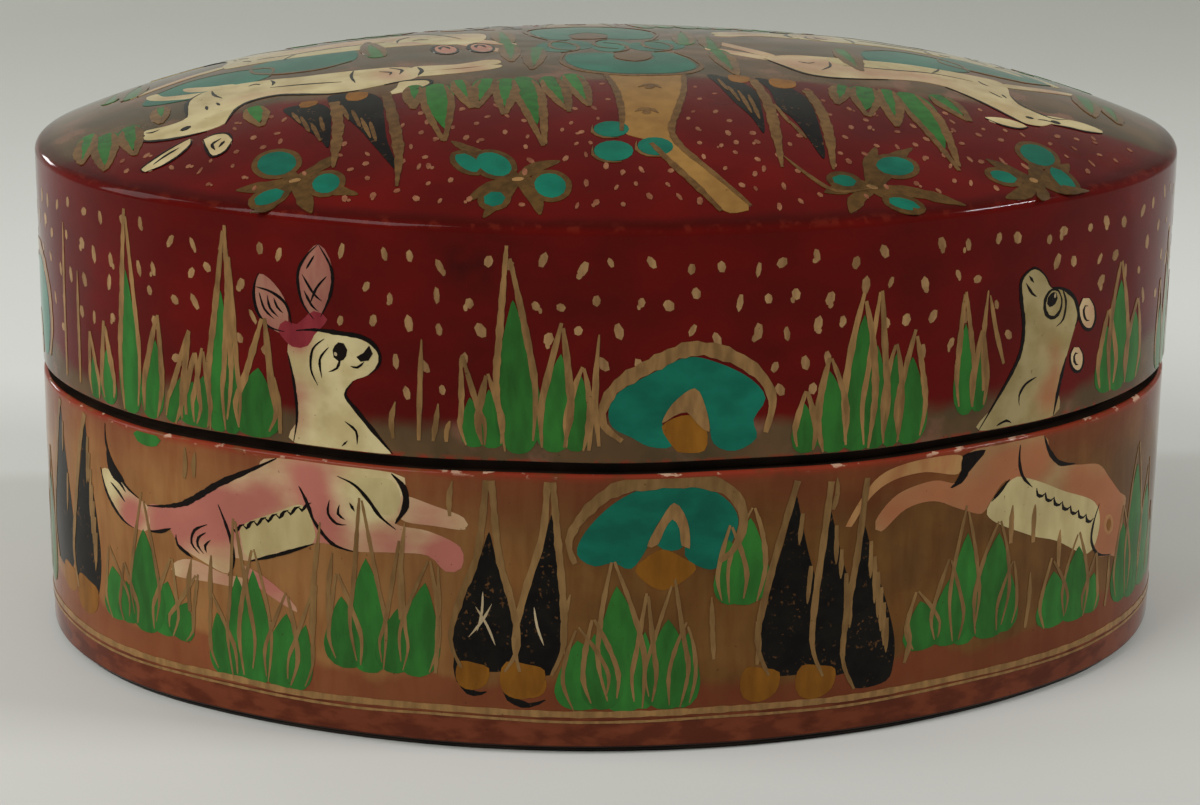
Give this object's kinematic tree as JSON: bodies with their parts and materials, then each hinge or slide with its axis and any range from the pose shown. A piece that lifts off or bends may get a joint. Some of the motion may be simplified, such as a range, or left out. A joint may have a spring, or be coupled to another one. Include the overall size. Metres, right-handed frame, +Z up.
{
  "type": "papier mache trinket box",
  "caption": "Oval trinket box with a straight-walled base, an inner collar and a low domed lid that lifts off over the collar.",
  "frame": {"origin": "centre of the underside, on the surface that the box stands on", "axes": "+X along the long axis of the oval, +Y across it towards the back of the box, +Z up, the way the lid lifts"},
  "size_m": [0.14, 0.105, 0.0709],
  "materials": {
    "red_lacquer": "painted and varnished, satin gloss",
    "brown_lacquer": "painted and varnished, satin gloss",
    "black_lacquer": "painted and varnished, satin gloss"
  },
  "bodies": {
    "base": {"floor_board": "black_lacquer", "base_wall": "brown_lacquer", "inner_collar": "black_lacquer"},
    "lid": {"lid_wall": "red_lacquer", "lid_dome": "red_lacquer"}
  },
  "joints": [
    {"name": "lid_lift", "type": "slide", "parent": "base", "child": "lid", "axis": [0, 0, 1], "range_m": [0, 0.06]}
  ]
}
